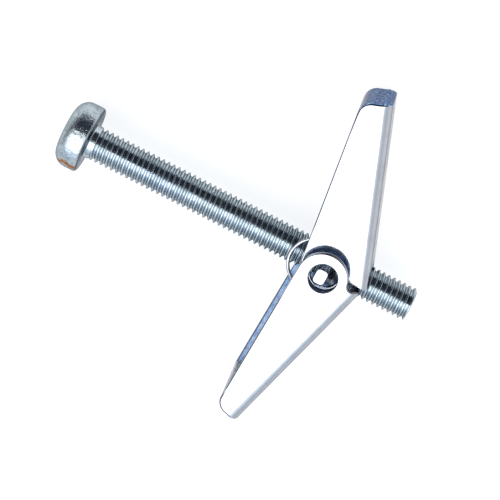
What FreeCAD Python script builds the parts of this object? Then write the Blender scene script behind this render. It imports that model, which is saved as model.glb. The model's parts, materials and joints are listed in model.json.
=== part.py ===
import FreeCAD, Part
import math
import os
import re

import Sketcher

# Spring toggle wall anchor, millimetres.
# Frame: +X runs along the screw from its head to its tip, +Z is the pivot axis of the
# wings, and +Y points along the inner wing. The origin is the centre of the face
# under the screw's head. Each wing is a tapered sheet-metal channel. The inner wing
# nests inside the outer one, and both turn on the flat tabs of the nut.

V = FreeCAD.Vector
Rotation = FreeCAD.Rotation
X_AXIS, Y_AXIS, Z_AXIS = V(1, 0, 0), V(0, 1, 0), V(0, 0, 1)

doc = FreeCAD.newDocument("wall_anchor")
sheet = doc.addObject("Spreadsheet::Sheet", "Dimensions")

DIMENSIONS = [
    # machine screw, M5 x 0.8 x 50
    ("crest_radius", 2.42, "rolled thread, crest"),
    ("root_radius", 2.00, "rolled thread, root"),
    ("thread_pitch", 0.80, "coarse pitch"),
    ("crest_flat", 0.10, "width of a crest"),
    ("root_flat", 0.14, "width of a root"),
    ("screw_length", 50.0, "from under the head to the tip"),
    ("neck_length", 1.1, "plain neck under the head"),
    ("neck_radius", 2.45, "plain neck under the head, just over the crests"),
    ("head_radius", 4.9, "pan head"),
    ("head_height", 3.8, "pan head"),
    ("head_under_round", 0.7, "round beside the bearing face"),
    ("head_top_round", 1.8, "round beside the outer face"),
    ("recess_reach", 2.3, "cross recess, from its centre to an arm's end"),
    ("recess_width", 1.0, "cross recess, width of an arm"),
    ("recess_depth", 2.2, "cross recess"),
    ("recess_draft", 23.0, "cross recess, degrees of draft along an arm"),
    ("recess_narrow", 0.67, "cross recess, width of an arm at the bottom"),
    ("recess_above", 0.22, "cross recess, how far its cutter starts above the head"),
    # nut: a pressed plate with a drawn collar and two pivot tabs
    ("pivot_reach", 37.2, "from under the head to the pivot axis"),
    ("nut_shift", 0.4, "nut plate behind the pivot axis, within the holes' play"),
    ("nut_plate", 1.7, "plate thickness, along the screw"),
    ("nut_width", 8.4, "plate width, across the screw"),
    ("nut_span", 5.6, "wide part of the plate, along the pivot axis"),
    ("nut_corner", 0.8, "rounded corners of the wide part"),
    ("bore_radius", 2.47, "running fit over the crests"),
    ("collar_radius", 2.78, "drawn collar"),
    ("collar_height", 1.8, "collar beyond the plate, towards the tip"),
    ("tab_width", 2.2, "pivot tab, across the screw"),
    ("tab_span", 13.6, "over both pivot tabs"),
    # wings
    ("gauge", 0.9, "sheet thickness"),
    ("outer_width", 13.8, "over the outer wing's flanges"),
    ("inner_width", 9.74, "over the inner wing's flanges"),
    ("bend_radius", 1.5, "outside radius of the long bends"),
    ("ear_radius", 3.54, "rounded ear"),
    ("ear_shift", 0.12, "ear centre from the pivot, towards the head"),
    ("pivot_hole", 2.0, "radius of the hole in each ear"),
    ("outer_web", 5.26, "outside of the outer wing's web from the pivot"),
    ("inner_web", 6.2, "outside of the inner wing's web from the pivot"),
    ("wing_reach", 24.5, "from the pivot to the wing's end, along the web"),
    ("ear_corner", 0.8, "inner corner between an ear and the flange's near end"),
    ("end_round", 1.9, "rounded corner at the free end"),
    ("end_lip", 1.2, "end wall carried round the rounded corner"),
    ("edge_lean", 4.7, "degrees, free edge from square to the screw"),
    ("outer_taper", 12.3, "degrees, outer wing's web from its free edge"),
    ("inner_taper", 13.3, "degrees, inner wing's web from its free edge"),
    ("wing_rock", 1.9, "degrees, both open wings off centre together"),
    ("end_gap", 0.12, "web end from the screw's axis plane"),
    ("notch_radius", 2.9, "notch in the web for the screw"),
    # torsion spring
    ("wire_radius", 0.25, "spring wire"),
    ("coil_radius", 3.2, "mean radius of the coil"),
    ("coil_shift", 2.2, "coil centre from the pivot, towards the head"),
    ("coil_height", 3.10, "first turn from the screw's axis, along the pivot axis"),
    ("turn_rise", 0.55, "rise of the coil in one turn"),
    ("leg_length", 9.0, "straight leg beyond the coil"),
    ("leg_lean", 3.4, "degrees, leg from square to the screw, towards the tip"),
]
for row, (alias, value, note) in enumerate(DIMENSIONS, start=1):
    sheet.set("A%d" % row, alias)
    sheet.set("B%d" % row, str(value))
    sheet.set("C%d" % row, note)
    sheet.setAlias("B%d" % row, alias)

# Shared by both wings; "edge" is the outward normal of the free edge.
DERIVED = [
    ("edge_x", "cos(edge_lean * 1deg)"),
    ("edge_y", "sin(edge_lean * 1deg)"),
    ("edge_offset", "ear_radius + ear_shift * edge_x"),
    ("foot_x", "0 - ear_shift - ear_radius * edge_x"),
    ("foot_y", "0 - ear_radius * edge_y"),
    ("ear_x", "0 - ear_shift"),
    ("clear_x", "0 - ear_radius * 2"),
    ("clear_y", "0 - ear_radius * 2"),
    ("inside_run", "wing_reach - gauge"),
    ("inner_flange", "inner_width - 2 * gauge"),
    ("outer_flange", "outer_width - 2 * gauge"),
    ("recess_bottom", "recess_reach - recess_depth * tan(recess_draft * 1deg)"),
]

# Corners of one wing's side profile, with the pivot at (0, 0). "norm" is the outward
# normal of the web. Each formula is written once for the outer and once for the inner wing.
WING_POINTS = [
    ("turn", "edge_lean + wing_taper"),
    ("norm_x", "cos(wing_turn * 1deg)"),
    ("norm_y", "sin(wing_turn * 1deg)"),
    ("near_x", "(wing_web - end_gap * wing_norm_y) / wing_norm_x"),
    ("far_x", "wing_web * wing_norm_x - wing_reach * wing_norm_y"),
    ("far_y", "wing_web * wing_norm_y + wing_reach * wing_norm_x"),
    ("far_height",
     "(edge_offset + wing_far_x * edge_x + wing_far_y * edge_y) / cos(wing_taper * 1deg)"),
    ("end_x", "wing_far_x - wing_far_height * wing_norm_x"),
    ("end_y", "wing_far_y - wing_far_height * wing_norm_y"),
    ("inside", "wing_web - gauge"),
    ("deep_x", "wing_inside * wing_norm_x - inside_run * wing_norm_y"),
    ("deep_y", "wing_inside * wing_norm_y + inside_run * wing_norm_x"),
    ("deep_height",
     "(edge_offset - gauge + wing_deep_x * edge_x + wing_deep_y * edge_y)"
     " / cos(wing_taper * 1deg)"),
    ("shelf_x", "wing_deep_x - wing_deep_height * wing_norm_x"),
    ("shelf_y", "wing_deep_y - wing_deep_height * wing_norm_y"),
    ("lip_x", "wing_shelf_x + end_lip * edge_y"),
    ("lip_y", "wing_shelf_y - end_lip * edge_x"),
    ("open_x", "wing_lip_x - 3 * gauge * edge_x"),
    ("open_y", "wing_lip_y - 3 * gauge * edge_y"),
    ("below_x", "wing_inside * wing_norm_x + ear_radius * 2 * wing_norm_y"),
    ("below_y", "wing_inside * wing_norm_y - ear_radius * 2 * wing_norm_x"),
]
for side in ("outer", "inner"):
    for point, formula in WING_POINTS:
        own = re.sub(r"wing_(?!reach)", side + "_", formula)
        DERIVED.append((side + "_" + point, own))

for row, (alias, formula) in enumerate(DERIVED, start=len(DIMENSIONS) + 2):
    sheet.set("A%d" % row, alias)
    sheet.set("B%d" % row, "=" + formula)
    sheet.setAlias("B%d" % row, alias)
doc.recompute()


def dim(alias):
    """A dimension, read back from the sheet."""
    return float(sheet.get(alias))


def bind(obj, prop, formula):
    """Bind a property to the sheet; every alias in the formula is written bare."""
    obj.setExpression(prop, re.sub(r"[a-z_]{3,}\d?", qualified, formula))


def qualified(word):
    """An alias with the sheet's name before it; a function's name is left alone."""
    known = {name for name, *_ in DIMENSIONS} | {name for name, _ in DERIVED}
    return "Dimensions." + word.group() if word.group() in known else word.group()


def new_body(label):
    body = doc.addObject("PartDesign::Body", label)
    body.Label = label
    return body


def new_sketch(body, name, plane):
    """A sketch on one of the body's own origin planes."""
    sketch = body.newObject("Sketcher::SketchObject", name)
    origin_plane = [f for f in body.Origin.OriginFeatures if f.Role == plane][0]
    sketch.AttachmentSupport = (origin_plane, [""])
    sketch.MapMode = "FlatFace"
    return sketch


def pin_point(sketch, geometry, point, x_formula, y_formula):
    """Fix one point of a sketch at two formulas."""
    for kind, formula in (("DistanceX", x_formula), ("DistanceY", y_formula)):
        place = getattr(sketch.getPoint(geometry, point), "x" if kind == "DistanceX" else "y")
        index = sketch.addConstraint(Sketcher.Constraint(kind, -1, 1, geometry, point, place))
        bind(sketch, "Constraints[%d]" % index, formula)


def outline(body, name, plane, corners):
    """A closed polygon whose corners are pairs of sheet aliases or numbers."""
    sketch = new_sketch(body, name, plane)
    places = [V(value_of(x), value_of(y), 0) for x, y in corners]
    count = len(places)
    for i in range(count):
        sketch.addGeometry(Part.LineSegment(places[i], places[(i + 1) % count]), False)
    for i in range(count):
        sketch.addConstraint(Sketcher.Constraint("Coincident", i, 2, (i + 1) % count, 1))
    for i, (x, y) in enumerate(corners):
        pin_point(sketch, i, 1, x, y)
    return sketch


def circle(body, name, plane, x, y, radius):
    """A circle whose centre and radius are formulas."""
    sketch = new_sketch(body, name, plane)
    centre = V(value_of(x), value_of(y), 0)
    sketch.addGeometry(Part.Circle(centre, Z_AXIS, value_of(radius)), False)
    pin_point(sketch, 0, 3, x, y)
    index = sketch.addConstraint(Sketcher.Constraint("Radius", 0, value_of(radius)))
    bind(sketch, "Constraints[%d]" % index, radius)
    return sketch


def rectangle(body, name, plane, width, height):
    """A rectangle about the sketch's origin."""
    half_width, half_height = width + " / 2", height + " / 2"
    return outline(body, name, plane, [
        ("0 - " + half_width, "0 - " + half_height), (half_width, "0 - " + half_height),
        (half_width, half_height), ("0 - " + half_width, half_height)])


def value_of(formula):
    """The present value of an alias or number, with an optional "0 - " before it and
    " / 2" after it."""
    sign = -1 if formula.startswith("0 - ") else 1
    word, halved, _ = formula.removeprefix("0 - ").partition(" / 2")
    value = dim(word) if word[0].isalpha() else float(word)
    return sign * value / (2 if halved else 1)


def pad(body, name, sketch, length, symmetric=True, reverse=False):
    feature = body.newObject("PartDesign::Pad", name)
    feature.Profile = sketch
    feature.SideType = "Symmetric" if symmetric else "One side"
    feature.Reversed = reverse
    bind(feature, "Length", length)
    return feature


def pocket(body, name, sketch, length=None, symmetric=True, reverse=False):
    feature = body.newObject("PartDesign::Pocket", name)
    feature.Profile = sketch
    feature.SideType = "Symmetric" if symmetric else "One side"
    feature.Reversed = reverse
    if length is None:
        feature.Type = "ThroughAll"
    else:
        bind(feature, "Length", length)
    return feature


def round_edges(body, name, base, radius, chosen):
    """Fillet the edges of base that chosen(edge) picks."""
    doc.recompute()
    names = ["Edge%d" % (i + 1) for i, edge in enumerate(base.Shape.Edges) if chosen(edge)]
    feature = body.newObject("PartDesign::Fillet", name)
    feature.Base = (base, names)
    bind(feature, "Radius", radius)
    return feature


# ---------------------------------------------------------------- machine screw
def make_screw():
    """Pan-head machine screw: a turned blank, its thread ridges and a cross recess."""
    root, crest = dim("root_radius"), dim("crest_radius")
    pitch, length = dim("thread_pitch"), dim("screw_length")
    half_crest = dim("crest_flat") / 2
    half_root = (pitch - dim("root_flat")) / 2
    neck, neck_end = dim("neck_radius"), dim("neck_length")
    head, height = dim("head_radius"), dim("head_height")
    under, top = dim("head_under_round"), dim("head_top_round")

    # The blank's half profile, from the outer face down to the neck: (along X, radius).
    corner = math.sqrt(0.5)
    side_start = V(-height + top, head, 0)
    edges = [
        Part.LineSegment(V(-height, 0, 0), V(-height, head - top, 0)).toShape(),
        Part.Arc(V(-height, head - top, 0),
                 V(-height + top * (1 - corner), head - top * (1 - corner), 0),
                 side_start).toShape(),
        Part.LineSegment(side_start, V(-under, head, 0)).toShape(),
        Part.Arc(V(-under, head, 0),
                 V(-under * (1 - corner), head - under * (1 - corner), 0),
                 V(0, head - under, 0)).toShape(),
    ]
    # The neck, then one ridge for each pitch, as straight runs.
    runs = [V(0, head - under, 0), V(0, neck, 0), V(neck_end, neck, 0), V(neck_end, root, 0)]
    ridge = neck_end + pitch / 2
    while ridge + pitch / 2 < length:
        runs += [V(ridge - half_root, root, 0), V(ridge - half_crest, crest, 0),
                 V(ridge + half_crest, crest, 0), V(ridge + half_root, root, 0)]
        ridge += pitch
    runs += [V(length, root, 0), V(length, 0, 0), V(-height, 0, 0)]
    edges += [Part.LineSegment(a, b).toShape() for a, b in zip(runs, runs[1:])]
    profile = Part.Face(Part.Wire(edges))
    blank = doc.addObject("Part::Feature", "screw_blank")
    blank.Shape = profile.revolve(V(0, 0, 0), X_AXIS, 360)

    # Cross recess: two drafted slots at right angles, driven into the head's outer face.
    slots = []
    for turn in (0, 90):
        slot = doc.addObject("Part::Wedge", "recess_%d" % turn)
        for prop, formula in (
                ("Xmin", "0 - recess_reach"), ("Xmax", "recess_reach"),
                ("Zmin", "0 - recess_width / 2"), ("Zmax", "recess_width / 2"),
                ("Ymin", "0 - recess_above"), ("Ymax", "recess_depth"),
                ("X2min", "0 - recess_bottom"), ("X2max", "recess_bottom"),
                ("Z2min", "0 - recess_narrow / 2"), ("Z2max", "recess_narrow / 2")):
            bind(slot, prop, formula)
        spin = Rotation(X_AXIS, turn) * Rotation(Z_AXIS, -90)
        slot.Placement = FreeCAD.Placement(V(-height, 0, 0), spin)
        slots.append(slot)
    cross = doc.addObject("Part::MultiFuse", "recess")
    cross.Shapes = slots
    screw = doc.addObject("Part::Cut", "machine_screw")
    screw.Base, screw.Tool = blank, cross
    screw.Label = "machine_screw"
    return screw


# ---------------------------------------------------------------- trunnion nut
def make_nut():
    """Pressed plate with a drawn collar; its two narrow tabs are the wings' pivot."""
    body = new_body("trunnion_nut")
    wide = rectangle(body, "plate_outline", "YZ_Plane", "nut_width", "nut_span")
    plate = pad(body, "plate", wide, "nut_plate")
    round_edges(body, "plate_corners", plate, "nut_corner", along_screw)
    tabs = rectangle(body, "tab_outline", "YZ_Plane", "tab_width", "tab_span")
    pad(body, "tabs", tabs, "nut_plate")
    collar = circle(body, "collar_outline", "YZ_Plane", "0", "0", "collar_radius")
    pad(body, "collar", collar, "nut_plate / 2 + collar_height", symmetric=False)
    bore = circle(body, "bore_outline", "YZ_Plane", "0", "0", "bore_radius")
    pocket(body, "bore", bore)
    place = V(dim("pivot_reach") - dim("nut_shift"), 0, 0)
    body.Placement = FreeCAD.Placement(place, Rotation())
    return body


def along_screw(edge):
    """A straight edge that runs along the screw."""
    return abs(edge.tangentAt(edge.FirstParameter).x) > 0.99


# ---------------------------------------------------------------- wings
def make_wing(side, placement):
    """A tapered channel: two eared flanges, the web between them and a closed end."""
    def at(point):
        return side + "_" + point + "_x", side + "_" + point + "_y"

    def at_free_corner(edge):
        """The short edge where the blade's square end meets its free edge."""
        middle, (x, y) = edge.CenterOfMass, at("end")
        return across(edge) and abs(middle.x - dim(x)) < 0.01 and abs(middle.y - dim(y)) < 0.01

    def on_long_bend(edge):
        """An outside edge between the web and a flange."""
        middle, (x, y) = edge.CenterOfMass, at("norm")
        off_web = middle.x * dim(x) + middle.y * dim(y) - dim(side + "_web")
        return (abs(off_web) < 0.01 and edge.Length > dim("wing_reach") / 2
                and abs(edge.tangentAt(edge.FirstParameter).z) < 0.01)

    body = new_body(side + "_wing")
    blade = outline(body, "blade_outline", "XY_Plane", [
        (side + "_near_x", "end_gap"), at("far"), at("end"),
        ("foot_x", "foot_y"), ("ear_x", "end_gap")])
    blade_pad = pad(body, "blade", blade, side + "_width")
    round_edges(body, "end_round", blade_pad, "end_round", at_free_corner)
    ear = circle(body, "ear_outline", "XY_Plane", "0 - ear_shift", "0", "ear_radius")
    ear_pad = pad(body, "ear", ear, side + "_width")
    ear_corner = round_edges(body, "ear_corner", ear_pad, "ear_corner", at_ear_corner)
    round_edges(body, "long_bends", ear_corner, "bend_radius", on_long_bend)
    hollow = outline(body, "hollow_outline", "XY_Plane", [
        at("below"), at("deep"), at("shelf"), at("lip"), at("open"), ("clear_x", "clear_y")])
    pocket(body, "hollow", hollow, side + "_flange")
    hole = circle(body, "pivot_hole_outline", "XY_Plane", "0", "0", "pivot_hole")
    pocket(body, "pivot_holes", hole)
    notch = circle(body, "notch_outline", "YZ_Plane", "0", "0", "notch_radius")
    pocket(body, "screw_notch", notch)
    body.Placement = placement
    return body


def across(edge):
    """A straight edge that runs through the sheet, along the pivot axis."""
    return abs(edge.tangentAt(edge.FirstParameter).z) > 0.99


def at_ear_corner(edge):
    """The inner corner where the ear meets the flange's near end, beside the web."""
    middle = edge.CenterOfMass
    return (across(edge) and middle.x > 0 and abs(middle.y - dim("end_gap")) < 0.01
            and abs(middle.x + dim("ear_shift") - dim("ear_radius")) < 0.1)


# ---------------------------------------------------------------- torsion spring
def make_spring():
    """One bent wire: a leg for each wing and a full turn hooked on the near pivot tab."""
    radius, rise = dim("coil_radius"), dim("turn_rise")
    leg, lean = dim("leg_length"), math.radians(dim("leg_lean"))
    first, last = -lean, lean - 2 * math.pi
    low, high = dim("coil_height"), dim("coil_height") + rise

    def on_coil(angle, height):
        return V(radius * math.cos(angle), radius * math.sin(angle), height)

    start, end = on_coil(first, low), on_coil(last, high)
    away_up = V(math.sin(lean), math.cos(lean), 0)
    away_down = V(math.sin(lean), -math.cos(lean), 0)
    leg_steps, coil_steps = 6, 36
    path = [start + away_up * (leg * (leg_steps - i) / leg_steps) for i in range(leg_steps)]
    for i in range(coil_steps + 1):
        share = i / coil_steps
        path.append(on_coil(first + (last - first) * share, low + rise * share))
    path += [end + away_down * (leg * i / leg_steps) for i in range(1, leg_steps + 1)]
    curve = Part.BSplineCurve()
    curve.interpolate(path)
    line = Part.Wire(curve.toShape())
    section = Part.Wire(Part.Circle(path[0], away_up, dim("wire_radius")).toShape())
    spring = doc.addObject("Part::Feature", "torsion_spring")
    spring.Shape = line.makePipe(Part.Face(section))
    expected = math.pi * dim("wire_radius") ** 2 * line.Length
    if abs(spring.Shape.Volume / expected - 1) > 0.01:
        raise RuntimeError("spring volume %.3f, expected %.3f" % (spring.Shape.Volume, expected))
    centre = V(dim("pivot_reach") - dim("coil_shift"), 0, 0)
    spring.Placement = FreeCAD.Placement(centre, Rotation(Z_AXIS, dim("wing_rock")))
    return spring


pivot = V(dim("pivot_reach"), 0, 0)
rock = Rotation(Z_AXIS, dim("wing_rock"))
inner_place = FreeCAD.Placement(pivot, rock)
outer_place = FreeCAD.Placement(pivot, rock * Rotation(X_AXIS, 180))
sub_parts = [
    make_screw(),
    make_nut(),
    make_wing("outer", outer_place),
    make_wing("inner", inner_place),
    make_spring(),
]
doc.recompute()

failed = [o.Name for o in doc.Objects if {"Invalid", "Error"} & set(o.State)]
if failed:
    raise RuntimeError("these objects failed: " + ", ".join(failed))
for part in sub_parts:
    if part.Shape.isNull() or not part.Shape.isValid():
        raise RuntimeError(part.Label + " has no valid shape")

os.makedirs("parts", exist_ok=True)
for part in sub_parts:
    part.Shape.exportStep(os.path.join("parts", part.Label + ".step"))
    box = part.Shape.BoundBox
    print("%-16s %9.2f mm3, %d solid(s), x %.2f to %.2f, y %.2f to %.2f, z %.2f to %.2f" % (
        part.Label, part.Shape.Volume, len(part.Shape.Solids), box.XMin, box.XMax,
        box.YMin, box.YMax, box.ZMin, box.ZMax))
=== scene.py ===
import json
import math

import bmesh
import bpy
from mathutils import Matrix, Vector


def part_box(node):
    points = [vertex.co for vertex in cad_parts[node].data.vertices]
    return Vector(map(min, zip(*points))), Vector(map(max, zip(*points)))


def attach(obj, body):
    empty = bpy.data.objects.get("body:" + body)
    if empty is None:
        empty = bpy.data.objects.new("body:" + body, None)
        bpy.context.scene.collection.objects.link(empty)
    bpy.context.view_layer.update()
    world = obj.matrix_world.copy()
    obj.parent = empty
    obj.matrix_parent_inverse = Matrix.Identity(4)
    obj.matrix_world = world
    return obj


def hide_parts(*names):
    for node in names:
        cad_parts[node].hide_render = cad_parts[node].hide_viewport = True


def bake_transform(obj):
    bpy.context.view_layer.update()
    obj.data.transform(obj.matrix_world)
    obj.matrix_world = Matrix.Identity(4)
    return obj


# Spring toggle wall anchor: a pan-head screw, a pressed nut, two folding wings and a spring.
# Sizes and places are in millimetres, and MM turns them into metres. The screw lies along X
# with the seat of its CAD head at 0, and the wings swing about an axis along Z.
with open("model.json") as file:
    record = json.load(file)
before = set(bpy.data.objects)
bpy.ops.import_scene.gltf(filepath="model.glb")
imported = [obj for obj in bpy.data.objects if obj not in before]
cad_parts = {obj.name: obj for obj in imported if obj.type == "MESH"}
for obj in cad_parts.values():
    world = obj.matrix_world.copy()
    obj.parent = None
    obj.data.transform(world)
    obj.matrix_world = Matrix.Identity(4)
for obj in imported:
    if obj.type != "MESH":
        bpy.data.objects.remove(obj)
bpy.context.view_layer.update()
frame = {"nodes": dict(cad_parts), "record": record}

MM = 0.001
FULL_TURN = 2 * math.pi


def box_of(node):
    """A CAD node's lowest and highest corners."""
    return [Vector(corner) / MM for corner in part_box(node)]


def share_between(low, high, value):
    """How far value has come from low to high, from 0 to 1."""
    return min(max((value - low) / (high - low), 0), 1)


def smooth_step(low, high, value):
    """The same share, eased at both ends."""
    share = share_between(low, high, value)
    return share * share * (3 - 2 * share)


# ------------------------------------------------------------------ sizes
screw_low, screw_high = box_of("machine_screw")
outer_low = box_of("outer_wing")[0]
joints = {joint["name"]: joint for joint in frame["record"]["behaviour"]["joints"]}
PIVOT = Vector(joints["inner_wing_fold"]["pos_m"]) / MM

# Head: it stands HEAD_SHIFT further along the screw than its CAD solid.
HEAD_SHIFT = 0.15
HEAD_TOP = screw_low.x + HEAD_SHIFT
HEAD_RADIUS = screw_high.z
TOP_ROUND, UNDER_ROUND, SEAT_FILLET = 2.0, 0.5, 0.22
FLAT_EDGE = HEAD_RADIUS - TOP_ROUND

# Cross recess: its levels, inside to outside, are (depth, share of reach, share of width).
RECESS_REACH, RECESS_HALF_WIDTH, RECESS_DEPTH = 2.3, 0.5, 2.2
RECESS_FLOOR = (0.55, 0.62)
RECESS_RIM = (1.05, 1.15)
RECESS_LEVELS = [(1.1, 0.78, 0.82), (0.12, 0.98, 0.98), (0.03, 1.0, 1.03), (0.0, *RECESS_RIM)]
RECESS_POINT = 0.3

# Neck and thread. PITCH_SAMPLES are the places in each pitch where the surface is sampled,
# and the flank runs from CREST_HALF to ROOT_HALF of a pitch away from the crest's middle.
SCREW_LENGTH = screw_high.x
NECK, NECK_LENGTH, RUN_IN = 2.45, 0.75, 0.45
CREST, ROOT = 2.42, 2.00
PITCH, THREAD_START = 0.80, 0.63
CREST_HALF, ROOT_HALF = 0.07, 0.41
PITCH_SAMPLES = [0.0, 0.09, 0.2, 0.33, 0.43, 0.5, 0.57, 0.67, 0.8, 0.91]
TIP_RADIUS, TIP_SLOPE = 2.30, 0.9
AROUND = 72

# Wings: how far the inner wing reaches from the pivot, along a web that leans from Y by
# WEB_LEAN, and how far out, along Y, the tips' rounding starts.
WING_REACH = 24.5
WEB_LEAN = math.radians(19.9)
TIP_START = 21.5

# Edges of the pressed parts: the rounding of each kind, and what tells the kinds apart. A
# wing's bends run for at least BEND_LENGTH. The nut's pivot tabs start TAB_START from the
# middle, have sides at least TAB_LENGTH long and stand within TAB_REACH of the screw's axis.
SHARP = math.radians(38)
WING_EDGE, WING_TIP, WING_INSIDE, BEND_LENGTH = 0.22, 0.35, 0.45, 8
NUT_EDGE, TAB_CORNER, TAB_START, TAB_LENGTH, TAB_REACH = 0.15, 0.55, 2, 3, 2

# Spring: a turn round the screw that rises by TURN_RISE, and a straight leg to each wing.
# It stands COIL_SHIFT nearer the head than the pivot and is turned by COIL_ROCK. WIRE_END is
# (place beyond the end, share of the radius) for the rings that round the wire's ends, with
# the place in radii. A leg is drawn in LEG_STEPS steps.
WIRE, WIRE_SIDES = 0.25, 14
WIRE_END = [(0.2, 0.97), (0.6, 0.75), (0.9, 0.35)]
COIL, COIL_SHIFT, COIL_ROCK = 3.9, 1.5, math.radians(1.9)
COIL_HEIGHT, TURN_RISE, COIL_STEPS = 3.10, 0.55, 72
LEG, LEG_LEAN, LEG_STEPS, LEG_BEND_STEPS = 9.0, math.radians(-5.0), 24, 6

# Floor: its middle, along the screw, and its gap under the outer wing.
FLOOR_MIDDLE, FLOOR_GAP = 25.0, 0.1


# ------------------------------------------------------------------ mesh helpers
def piece_from(name, bm, body, node):
    """Make a bmesh a piece that stands for a CAD node; with no body, it is left unattached."""
    bmesh.ops.recalc_face_normals(bm, faces=bm.faces)
    mesh = bpy.data.meshes.new(name)
    bm.to_mesh(mesh)
    bm.free()
    mesh.transform(Matrix.Scale(MM, 4))
    mesh.shade_smooth()
    obj = bpy.data.objects.new(name, mesh)
    bpy.context.scene.collection.objects.link(obj)
    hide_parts(node)
    if body:
        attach(obj, body)
    return obj


def ring(bm, x, radius):
    """A ring of vertices round the screw's axis; radius is a number or depends on the angle."""
    vertices = []
    for i in range(AROUND):
        angle = FULL_TURN * i / AROUND
        r = radius(angle) if callable(radius) else radius
        vertices.append(bm.verts.new((x, r * math.cos(angle), r * math.sin(angle))))
    return vertices


def bridge(bm, one, other):
    """Quads between two rings of the same length."""
    for i in range(len(one)):
        j = (i + 1) % len(one)
        bm.faces.new((one[i], one[j], other[j], other[i]))


def cap(bm, x, rim):
    """Triangles from a point on the screw's axis to a ring."""
    centre = bm.verts.new((x, 0, 0))
    for i in range(AROUND):
        bm.faces.new((centre, rim[i], rim[(i + 1) % AROUND]))


def quarter_turn(steps, first=0):
    """Cosine and sine at even steps of a quarter turn."""
    for i in range(first, steps + 1):
        angle = math.pi / 2 * i / steps
        yield math.cos(angle), math.sin(angle)


# ------------------------------------------------------------------ machine screw
def recess_radius(reach, width):
    """Outline of the cross recess, at a share of its reach and of its width."""
    def radius(angle):
        along = abs(math.cos(angle)), abs(math.sin(angle))
        return min(RECESS_REACH * reach / max(along),
                   RECESS_HALF_WIDTH * width / max(min(along), 1e-6))
    return radius


def face_radius(share):
    """The head's flat face, from the recess's rim (0) to where its rounding starts (1)."""
    rim = recess_radius(*RECESS_RIM)

    def radius(angle):
        return rim(angle) + (FLAT_EDGE - rim(angle)) * share
    return radius


def head_profile():
    """Rings, as (x, radius), over the head's rounded side, its seat and the neck."""
    top = [(HEAD_TOP + TOP_ROUND * (1 - c), FLAT_EDGE + TOP_ROUND * s)
           for c, s in quarter_turn(10, first=1)]
    under = [(HEAD_SHIFT - UNDER_ROUND * (1 - s), HEAD_RADIUS - UNDER_ROUND * (1 - c))
             for c, s in quarter_turn(6)]
    fillet = [(HEAD_SHIFT + SEAT_FILLET * (1 - c), NECK + SEAT_FILLET * (1 - s))
              for c, s in quarter_turn(5)]
    return top + under + fillet + [(NECK_LENGTH * 0.7, NECK), (NECK_LENGTH, NECK)]


def add_head(bm):
    """The cross recess, the pan head and the neck."""
    last = ring(bm, HEAD_TOP + RECESS_DEPTH, recess_radius(*RECESS_FLOOR))
    cap(bm, HEAD_TOP + RECESS_DEPTH + RECESS_POINT, last)
    levels = [(HEAD_TOP + depth, recess_radius(reach, width))
              for depth, reach, width in RECESS_LEVELS]
    levels += [(HEAD_TOP, face_radius(share)) for share in (0.35, 0.7, 1.0)]
    for x, radius in levels + head_profile():
        level = ring(bm, x, radius)
        bridge(bm, last, level)
        last = level


def thread_radius(x, turn):
    """Radius of the right-hand thread at x, on the line that stands turn (0 to 1) round."""
    phase = ((x - NECK_LENGTH) / PITCH - turn - THREAD_START) % 1
    from_crest = abs(phase - 0.5)
    straight = 1 - share_between(CREST_HALF, ROOT_HALF, from_crest)
    rounded = 1 - smooth_step(CREST_HALF, ROOT_HALF, from_crest)
    radius = ROOT + (CREST - ROOT) * (0.75 * straight + 0.25 * rounded)
    radius = NECK + (radius - NECK) * smooth_step(NECK_LENGTH, NECK_LENGTH + RUN_IN, x)
    return min(radius, TIP_RADIUS + (SCREW_LENGTH - x) * TIP_SLOPE)


def add_thread(bm):
    """The thread's surface: samples shear by a pitch a turn, so mesh lines follow the helix."""
    turns = range(-2, int((SCREW_LENGTH - NECK_LENGTH) / PITCH) + 2)
    columns = []
    for i in range(AROUND + 1):
        turn = i / AROUND
        angle = FULL_TURN * turn
        column = []
        for k in turns:
            for phase in PITCH_SAMPLES:
                x = NECK_LENGTH + PITCH * (k + phase + turn + THREAD_START)
                x = min(max(x, NECK_LENGTH), SCREW_LENGTH)
                r = thread_radius(x, turn)
                column.append(bm.verts.new((x, r * math.cos(angle), r * math.sin(angle))))
        columns.append(column)
    for one, other in zip(columns, columns[1:]):
        for k in range(len(one) - 1):
            bm.faces.new((one[k], one[k + 1], other[k + 1], other[k]))


def add_tip(bm):
    """The plain cut end."""
    rim = ring(bm, SCREW_LENGTH, lambda angle: thread_radius(SCREW_LENGTH, angle / FULL_TURN))
    inner = ring(bm, SCREW_LENGTH, TIP_RADIUS * 0.5)
    bridge(bm, rim, inner)
    cap(bm, SCREW_LENGTH, inner)


def make_screw():
    """Pan head with a cross recess, neck, and a true helical thread down to the tip."""
    bm = bmesh.new()
    add_head(bm)
    add_thread(bm)
    add_tip(bm)
    bmesh.ops.remove_doubles(bm, verts=bm.verts, dist=0.002)
    bmesh.ops.dissolve_degenerate(bm, edges=bm.edges, dist=0.0005)
    return piece_from("screw", bm, "screw", "machine_screw")


# ------------------------------------------------------------------ pressed parts
def is_inside_bend(edge):
    """One of a wing's two long inside corners, where its web meets its flanges."""
    return (edge.is_manifold and not edge.is_convex and edge.calc_length() > BEND_LENGTH
            and edge.calc_face_angle() > math.radians(60))


def is_wing_tip(edge, top):
    """An outside edge round a wing's tip, on one of its two flanges."""
    return all(abs(v.co.y) > TIP_START and abs(abs(v.co.z) - top) < 0.02 for v in edge.verts)


def is_tab_corner(edge):
    """A corner of a pivot tab, along the pivot's axis and outside the nut's wide part."""
    low, high = sorted(v.co.z for v in edge.verts)
    return (high - low > TAB_LENGTH and abs(edge.verts[0].co.y) < TAB_REACH
            and (low > TAB_START or high < -TAB_START))


def sharp_edges(bm):
    """The outside edges that a press leaves."""
    return [e for e in bm.edges if e.is_manifold and e.is_convex and e.calc_face_angle() > SHARP]


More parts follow.
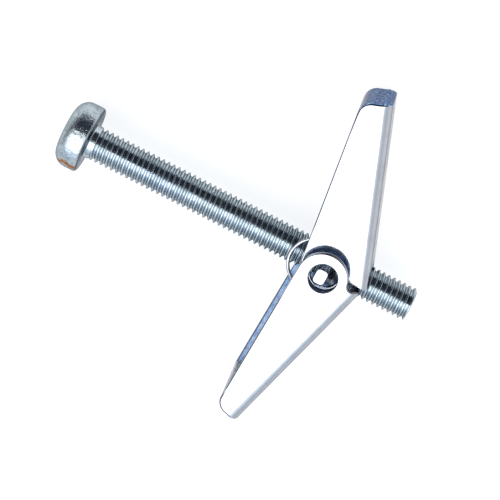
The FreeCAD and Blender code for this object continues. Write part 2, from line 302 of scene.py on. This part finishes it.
def ease(bm, edges, radius, segments):
    """Round edges over, or fill them in where they are inside corners."""
    bmesh.ops.bevel(bm, geom=edges, offset=radius, segments=segments, profile=0.5,
                    affect="EDGES", clamp_overlap=False)


def pressed_mesh(node):
    """A CAD node's shape, without the edges that cross its flat faces, and its half depth."""
    bm = bmesh.new()
    bm.from_mesh(frame["nodes"][node].data)
    bm.transform(Matrix.Scale(1 / MM, 4))
    top = max(v.co.z for v in bm.verts)
    bmesh.ops.remove_doubles(bm, verts=bm.verts, dist=0.0005)
    bmesh.ops.dissolve_degenerate(bm, edges=bm.edges, dist=0.02)
    bmesh.ops.dissolve_limit(bm, angle_limit=math.radians(0.6), verts=bm.verts, edges=bm.edges)
    return bm, top


def pressed_piece(name, bm, top, edge_radius, body, node):
    """Ease every sharp edge that is left, within the CAD's depth, and even out the shading."""
    ease(bm, sharp_edges(bm), edge_radius, 3)
    for vertex in bm.verts:
        vertex.co.z = min(max(vertex.co.z, -top), top)
    obj = piece_from(name, bm, body, node)
    weighted = obj.modifiers.new("even_normals", "WEIGHTED_NORMAL")
    weighted.keep_sharp = False
    weighted.weight = 80
    return obj


def make_wing(name, node):
    """A channel with rounded bends and a rounded, closed end; its body has its node's name."""
    bm, top = pressed_mesh(node)
    ease(bm, [e for e in bm.edges if is_inside_bend(e)], WING_INSIDE, 4)
    ease(bm, [e for e in sharp_edges(bm) if is_wing_tip(e, top)], WING_TIP, 5)
    return pressed_piece(name, bm, top, WING_EDGE, node, node)


def make_nut():
    """The pressed nut, with the corners of its pivot tabs rounded."""
    bm, top = pressed_mesh("trunnion_nut")
    ease(bm, [e for e in bm.edges if is_tab_corner(e)], TAB_CORNER, 6)
    return pressed_piece("nut", bm, top, NUT_EDGE, "nut", "trunnion_nut")


# ------------------------------------------------------------------ torsion spring
def wire_piece(name, path, body):
    """A round wire along a path, with rounded ends."""
    bm = bmesh.new()
    last = len(path) - 1
    rings = []
    for i, point in enumerate(path):
        ahead = (path[min(i + 1, last)] - path[max(i - 1, 0)]).normalized()
        across = ahead.cross(Vector((0, 0, 1))).normalized()
        up = across.cross(ahead)
        scales = [(0, 1)]
        if i == 0:
            scales = [(-shift, scale) for shift, scale in reversed(WIRE_END)]
        elif i == last:
            scales = WIRE_END
        for shift, scale in scales:
            loop = []
            for k in range(WIRE_SIDES):
                angle = FULL_TURN * k / WIRE_SIDES
                offset = (across * math.cos(angle) + up * math.sin(angle)) * WIRE * scale
                loop.append(bm.verts.new(point + ahead * WIRE * shift + offset))
            rings.append(loop)
    for one, other in zip(rings, rings[1:]):
        bridge(bm, one, other)
    bm.faces.new(rings[0])
    bm.faces.new(list(reversed(rings[-1])))
    return piece_from(name, bm, body, "torsion_spring")


def spring_point(x, y, z):
    """A point given from the coil's own centre, in its place on the anchor."""
    turned = Matrix.Rotation(COIL_ROCK, 3, "Z") @ Vector((x, y, z))
    return turned + Vector((PIVOT.x - COIL_SHIFT, 0, 0))


def make_coil():
    """The wire's turn round the screw, from where one leg leaves it to where the other does."""
    first, last = -LEG_LEAN, LEG_LEAN - FULL_TURN
    path = []
    for i in range(COIL_STEPS + 1):
        angle = first + (last - first) * i / COIL_STEPS
        path.append(spring_point(COIL * math.cos(angle), COIL * math.sin(angle),
                                 COIL_HEIGHT + TURN_RISE * i / COIL_STEPS))
    return wire_piece("spring_coil", path, "nut")


def make_leg(name, side, height):
    """A leg from an end of the coil along a wing."""
    start = Vector((COIL * math.cos(LEG_LEAN), -side * COIL * math.sin(LEG_LEAN), height))
    along = Vector((math.sin(LEG_LEAN), side * math.cos(LEG_LEAN), 0))
    path = [spring_point(*(start + along * LEG * i / LEG_STEPS)) for i in range(LEG_STEPS + 1)]
    leg = wire_piece(name, path, None)
    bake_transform(leg)
    return leg


def make_spring():
    """A turn that rides on the nut, and a leg along each wing."""
    return [make_coil(),
            make_leg("spring_leg_inner", 1, COIL_HEIGHT),
            make_leg("spring_leg_outer", -1, COIL_HEIGHT + TURN_RISE)]


# ------------------------------------------------------------------ materials
class Nodes:
    """Short names for the nodes that the materials share."""

    def __init__(self, name="", tree=None):
        if tree:
            self.tree = tree
            return
        self.material = bpy.data.materials.new(name)
        self.material.use_nodes = True
        self.tree = self.material.node_tree
        self.shader = self.tree.nodes["Principled BSDF"]
        self.place = self.add("ShaderNodeTexCoord").outputs["Object"]

    def add(self, kind, **values):
        """A node of a kind, with its own settings."""
        node = self.tree.nodes.new(kind)
        for key, value in values.items():
            setattr(node, key, value)
        return node

    def link(self, source, target):
        self.tree.links.new(source, target)

    def feed(self, socket, value):
        """Give a socket a number, a colour or another node's output."""
        if isinstance(value, (int, float)):
            socket.default_value = value
        elif isinstance(value, tuple):
            socket.default_value = (*value, 1)
        else:
            self.link(value, socket)

    def noise(self, scale, detail=3.0, roughness=0.55, stretch=(1, 1, 1), distortion=0.0):
        """Noise from 0 to 1; scale is in features a metre."""
        mapping = self.add("ShaderNodeMapping")
        mapping.inputs["Scale"].default_value = stretch
        self.link(self.place, mapping.inputs["Vector"])
        node = self.add("ShaderNodeTexNoise")
        node.inputs["Scale"].default_value = scale
        node.inputs["Detail"].default_value = detail
        node.inputs["Roughness"].default_value = roughness
        node.inputs["Distortion"].default_value = distortion
        self.link(mapping.outputs["Vector"], node.inputs["Vector"])
        return node.outputs["Fac"]

    def ramp(self, value, stops):
        """A colour for each value, from stops of (position, colour)."""
        node = self.add("ShaderNodeValToRGB")
        ramp = node.color_ramp
        while len(ramp.elements) < len(stops):
            ramp.elements.new(0.5)
        for element, (position, colour) in zip(ramp.elements, stops):
            element.position = position
            element.color = (*colour, 1)
        self.link(value, node.inputs["Fac"])
        return node.outputs["Color"]

    def range(self, value, low, high, new_low, new_high):
        """An eased change from new_low, at low and below, to new_high, at high and above."""
        node = self.add("ShaderNodeMapRange", interpolation_type="SMOOTHSTEP")
        for key, number in (("From Min", low), ("From Max", high),
                            ("To Min", new_low), ("To Max", new_high)):
            node.inputs[key].default_value = number
        self.link(value, node.inputs["Value"])
        return node.outputs["Result"]

    def mix(self, factor, one, other):
        """One colour where the factor is 0, and the other where it is 1."""
        node = self.add("ShaderNodeMix", data_type="RGBA")
        self.feed(node.inputs["Factor"], factor)
        self.feed(node.inputs["A"], one)
        self.feed(node.inputs["B"], other)
        return [o for o in node.outputs if o.type == "RGBA"][0]

    def math(self, operation, one, other=0.0):
        node = self.add("ShaderNodeMath", operation=operation)
        self.feed(node.inputs[0], one)
        self.feed(node.inputs[1], other)
        return node.outputs["Value"]

    def times(self, one, *others):
        """All the values multiplied together."""
        for other in others:
            one = self.math("MULTIPLY", one, other)
        return one

    def along(self, axes, weights):
        """How far a point or a direction reaches the way that two weights point."""
        return self.math("ADD", self.times(axes[0], weights[0]), self.times(axes[1], weights[1]))

    def split(self, vector):
        """A vector's three parts."""
        node = self.add("ShaderNodeSeparateXYZ")
        self.link(vector, node.inputs["Vector"])
        return list(node.outputs)

    def axes(self):
        """Position along each axis, in millimetres."""
        return [self.times(part, 1 / MM) for part in self.split(self.place)]

    def facing(self):
        """The face's direction along each axis of the piece, which a fold doesn't change."""
        turned = self.add("ShaderNodeVectorTransform", vector_type="NORMAL",
                          convert_from="WORLD", convert_to="OBJECT")
        normal = self.add("ShaderNodeNewGeometry").outputs["True Normal"]
        self.link(normal, turned.inputs["Vector"])
        return self.split(turned.outputs["Vector"])

    def bumps(self, *layers):
        """Stack bump layers of (height, depth in millimetres)."""
        normal = None
        for height, depth in layers:
            node = self.add("ShaderNodeBump")
            node.inputs["Strength"].default_value = 1.0
            node.inputs["Distance"].default_value = depth * MM
            self.link(height, node.inputs["Height"])
            if normal:
                self.link(normal, node.inputs["Normal"])
            normal = node.outputs["Normal"]
        self.link(normal, self.shader.inputs["Normal"])


def plated(name, base, shade, tint, grain_depth, rough, edge_tint=(0.42, 0.44, 0.47)):
    """Bright zinc plate: mottled tone, a breath of colour, fine grain and hairline scratches."""
    n = Nodes(name)
    mottle = n.noise(520, detail=5, roughness=0.62)
    cloud = n.noise(130, detail=2)
    speckle = n.noise(3600, detail=2, roughness=0.7)
    pits = n.noise(1500, detail=4, roughness=0.65)
    scratches = n.noise(900, detail=2, stretch=(0.16, 2.6, 1.0), distortion=0.3)
    cross_scratches = n.noise(700, detail=2, stretch=(2.4, 0.2, 1.2), distortion=0.4)
    tone = n.ramp(mottle, [(0.30, shade), (0.62, base)])
    tone = n.mix(n.range(cloud, 0.45, 0.75, 0.0, 0.35), tone, tint)
    tone = n.mix(n.range(speckle, 0.60, 0.74, 0.0, 0.35), tone, (0.66, 0.69, 0.73))
    smoothest, roughest = rough
    roughness = n.range(mottle, 0.3, 0.7, roughest, smoothest)
    n.link(tone, n.shader.inputs["Base Color"])
    n.link(roughness, n.shader.inputs["Roughness"])
    n.shader.inputs["Metallic"].default_value = 1.0
    n.shader.inputs["Specular Tint"].default_value = (*edge_tint, 1)
    n.tone = tone
    n.rough = roughness
    n.grain = [(mottle, grain_depth * 3), (pits, grain_depth * 1.5), (speckle, grain_depth),
               (scratches, grain_depth * 1.6), (cross_scratches, grain_depth * 1.2)]
    n.bumps(*n.grain)
    return n


def painted_reflection_line(n, y, z):
    """Where a warm reflection is painted along the head's rim, on one side of it only."""
    angle = math.radians(160)
    outward = n.along((y, z), (math.cos(angle), math.sin(angle)))
    sideways = n.along((y, z), (math.sin(angle), -math.cos(angle)))
    ragged = n.math("ADD", outward, n.times(n.noise(700, detail=4), 0.9))
    return n.times(n.range(ragged, HEAD_RADIUS - 0.35, HEAD_RADIUS - 0.22, 0.0, 0.92),
                   n.range(ragged, HEAD_RADIUS - 0.02, HEAD_RADIUS + 0.12, 1.0, 0.05),
                   n.range(sideways, 0.0, 0.8, 0.0, 1.0))


def screw_finish():
    """Barrel-plated screw: pocked head, painted shade in the roots and under the head, painted
    warm reflection on the rim.
    """
    n = plated("zinc_screw", (0.50, 0.56, 0.59), (0.34, 0.40, 0.43), (0.40, 0.47, 0.57),
               0.009, (0.15, 0.28))
    x, y, z = n.axes()
    from_axis = n.math("SQRT", n.math("ADD", n.times(y, y), n.times(z, z)))
    on_head = n.range(x, -0.3, 0.1, 1.0, 0.0)
    on_thread = n.range(x, 0.2, 0.6, 0.0, 1.0)
    pocks = n.noise(1700, detail=4, roughness=0.7)
    n.bumps((n.times(pocks, on_head), 0.10), *n.grain)
    # Painted shade: the thread's roots are darkened, most at the root radius.
    painted_root_shade = n.times(n.range(from_axis, ROOT, CREST - 0.05, 0.18, 0.0), on_thread)
    worn = n.times(on_head, n.range(pocks, 0.50, 0.64, 0.0, 0.55))
    # Painted shade: the head's underside, out from the neck, is darkened nearly to black.
    painted_shade_under_head = n.times(n.range(x, HEAD_SHIFT - 0.30, HEAD_SHIFT - 0.05, 0.0, 0.85),
                         n.range(from_axis, NECK + 0.3, NECK + 0.7, 0.0, 1.0))
    # Painted reflection: an orange-brown line of reflected warm light along one side of the
    # head's rim.
    painted_reflection_colour = n.ramp(n.noise(2200, detail=4), [(0.35, (0.20, 0.06, 0.015)),
                                            (0.65, (0.55, 0.24, 0.06))])
    tone = n.mix(painted_root_shade, n.tone, (0.12, 0.16, 0.22))
    tone = n.mix(worn, tone, (0.22, 0.24, 0.28))
    tone = n.mix(painted_shade_under_head, tone, (0.07, 0.08, 0.10))
    n.link(n.mix(painted_reflection_line(n, y, z), tone, painted_reflection_colour), n.shader.inputs["Base Color"])
    n.link(n.mix(on_head, n.rough, (0.22, 0.22, 0.22)), n.shader.inputs["Roughness"])
    return n.material


def painted_end_reflection(n, x, y, facing_x, facing_y, slope):
    """The inner wing's rounded end, where a speckled blue reflection is painted."""
    outward = -math.sin(WEB_LEAN), math.cos(WEB_LEAN)
    reach = n.along((n.math("SUBTRACT", x, PIVOT.x), y), outward)
    return n.times(n.range(reach, WING_REACH - 2.0, WING_REACH - 1.2, 0.0, 0.9),
                   n.range(slope, 0.5, 0.8, 1.0, 0.0),
                   n.range(n.along((facing_x, facing_y), outward), 0.25, 0.55, 0.0, 1.0))


def painted_dark_edge(n, y, facing_x, slope):
    """A painted dark reflection on the eased edges that turn towards the screw's head, past the
    ears.
    """
    return n.times(n.range(slope, 0.10, 0.20, 0.0, 1.0),
                   n.range(slope, 0.975, 0.99, 1.0, 0.0),
                   n.range(facing_x, 0.05, 0.20, 1.0, 0.0),
                   n.range(n.math("ABSOLUTE", y), 4.0, 6.0, 0.0, 0.9))


def sheet_finish():
    """Blue-passivated zinc on the wings: bright outside, a painted blue reflection on the rougher
    inside faces, a painted dark reflection on eased edges towards the head, painted light within
    the closed ends, and a painted speckled blue reflection on the closed end of one of them."""
    n = plated("zinc_sheet", (0.45, 0.47, 0.50), (0.38, 0.40, 0.43), (0.38, 0.42, 0.50),
               0.0018, (0.09, 0.18), edge_tint=(0.45, 0.43, 0.44))
    x, y, z = n.axes()
    facing_x, facing_y, facing_z = n.facing()
    slope = n.math("ABSOLUTE", facing_z)
    inside = n.range(n.times(facing_z, z), -1.5, -0.5, 1.0, 0.0)
    # Painted light: faces within the closed ends are made near white and rough, as if lit from
    # the open side.
    painted_light_within_end = n.range(n.times(facing_y, y), -16.0, -10.0, 1.0, 0.0)
    # Painted reflection: the channels' inside faces get a blue tone in place of reflected light;
    # they are also rougher.
    painted_inside_reflection = n.ramp(n.noise(700, detail=3), [(0.35, (0.13, 0.23, 0.46)),
                                               (0.65, (0.36, 0.50, 0.72))])
    # Painted reflection: speckled blue with bright glints, on the outside of the inner wing's
    # rounded end.
    painted_reflection_speckle = n.ramp(n.noise(2600, detail=3, roughness=0.85),
                           [(0.40, (0.03, 0.11, 0.33)), (0.54, (0.09, 0.24, 0.52)),
                            (0.62, (0.60, 0.78, 0.90))])
    tone = n.mix(inside, n.tone, painted_inside_reflection)
    # Painted reflection: the eased edges that turn towards the head are darkened.
    tone = n.mix(painted_dark_edge(n, y, facing_x, slope), tone, (0.13, 0.145, 0.18))
    tone = n.mix(painted_light_within_end, tone, (0.80, 0.83, 0.86))
    tone = n.mix(painted_end_reflection(n, x, y, facing_x, facing_y, slope), tone, painted_reflection_speckle)
    n.link(tone, n.shader.inputs["Base Color"])
    roughness = n.mix(inside, n.rough, (0.5, 0.5, 0.5))
    n.link(n.mix(painted_light_within_end, roughness, (0.7, 0.7, 0.7)), n.shader.inputs["Roughness"])
    return n.material


def nut_finish():
    """Bluer zinc on the nut's thick plate."""
    return plated("zinc_nut", (0.48, 0.52, 0.57), (0.30, 0.36, 0.46), (0.26, 0.34, 0.50),
                  0.004, (0.16, 0.32)).material


def spring_finish():
    """Plated spring wire, a little darker."""
    return plated("spring_steel", (0.46, 0.48, 0.51), (0.30, 0.32, 0.36), (0.36, 0.40, 0.48),
                  0.003, (0.18, 0.34)).material


def floor_finish():
    """Matt, and pale by an even glow of its own, so that shadows on it stay faint."""
    n = Nodes("pale_floor")
    n.link(n.ramp(n.noise(14, detail=2), [(0.3, (0.24, 0.24, 0.245)), (0.7, (0.26, 0.26, 0.26))]),
           n.shader.inputs["Base Color"])
    n.shader.inputs["Emission Color"].default_value = (0.97, 0.985, 1.0, 1)
    n.shader.inputs["Emission Strength"].default_value = 0.84
    n.shader.inputs["Roughness"].default_value = 0.9
    n.shader.inputs["Specular IOR Level"].default_value = 0.1
    return n.material


# ------------------------------------------------------------------ stage, light, camera
def make_floor():
    """A pale surface that the outer wing's flange lies on."""
    bm = bmesh.new()
    bmesh.ops.create_grid(bm, x_segments=8, y_segments=8, size=1.5)
    mesh = bpy.data.meshes.new("floor")
    bm.to_mesh(mesh)
    bm.free()
    floor = bpy.data.objects.new("floor", mesh)
    floor.location = Vector((FLOOR_MIDDLE, 0, outer_low.z - FLOOR_GAP)) * MM
    bpy.context.scene.collection.objects.link(floor)
    floor.data.materials.append(floor_finish())


def make_world():
    """Soft studio: a broad white softbox overhead and towards -Y, a dark room towards +Y."""
    world = bpy.data.worlds.new("studio")
    bpy.context.scene.world = world
    world.use_nodes = True
    n = Nodes(tree=world.node_tree)
    x, y, z = n.split(n.add("ShaderNodeTexCoord").outputs["Generated"])
    # The arc runs from the -Y horizon (0) over the top (0.5) to the +Y horizon (1).
    arc = n.math("DIVIDE", n.math("ARCTAN2", z, n.times(y, -1.0)), math.pi)
    room = n.ramp(arc, [(0.00, (0.16, 0.15, 0.135)), (0.10, (0.22, 0.24, 0.27)),
                        (0.16, (0.29, 0.34, 0.41)), (0.32, (0.32, 0.35, 0.39)),
                        (0.53, (0.24, 0.26, 0.30)), (0.60, (0.008, 0.009, 0.014)),
                        (0.97, (0.008, 0.010, 0.016))])
    softbox = n.times(n.range(arc, 0.25, 0.37, 0.0, 1.0),
                      n.range(arc, 0.53, 0.60, 1.0, 0.0),
                      n.range(n.math("ABSOLUTE", x), 0.25, 0.85, 1.0, 0.0))
    wall_at_tip = n.range(x, 0.62, 0.92, 0.0, 1.0)
    wall_at_head = n.range(x, -0.92, -0.62, 1.0, 0.0)
    room = n.mix(wall_at_tip, room, (0.27, 0.28, 0.30))
    room = n.mix(wall_at_head, room, (0.11, 0.11, 0.115))
    background = n.tree.nodes["Background"]
    n.link(n.mix(softbox, room, (1.15, 1.15, 1.15)), background.inputs["Color"])
    background.inputs["Strength"].default_value = 3.6


def make_camera():
    """Looks down on the anchor from over its +Y side, rolled so that the screw slopes down."""
    azimuth, elevation, roll = (math.radians(a) for a in (91.167, 70.013, -153.893))
    target = Vector((26.71, -3.60, 0.0)) * MM
    distance = 243.05 * MM
    data = bpy.data.cameras.new("camera")
    data.sensor_width = 36
    data.lens = 125.3
    data.clip_start = 0.01
    camera = bpy.data.objects.new("camera", data)
    turn = (Matrix.Rotation(azimuth + math.pi / 2, 4, "Z")
            @ Matrix.Rotation(math.pi / 2 - elevation, 4, "X") @ Matrix.Rotation(roll, 4, "Z"))
    camera.matrix_world = (Matrix.Translation(target) @ turn
                           @ Matrix.Translation(Vector((0, 0, distance))))
    bpy.context.scene.collection.objects.link(camera)
    bpy.context.scene.camera = camera


# ------------------------------------------------------------------ build
sheet = sheet_finish()
wire = spring_finish()
finished = [
    (make_screw(), screw_finish()),
    (make_wing("wing_outer", "outer_wing"), sheet),
    (make_wing("wing_inner", "inner_wing"), sheet),
    (make_nut(), nut_finish()),
]
for piece in make_spring():
    finished.append((piece, wire))
for piece, material in finished:
    piece.data.materials.append(material)

make_floor()
make_world()
make_camera()
bpy.context.scene.view_settings.view_transform = "Standard"
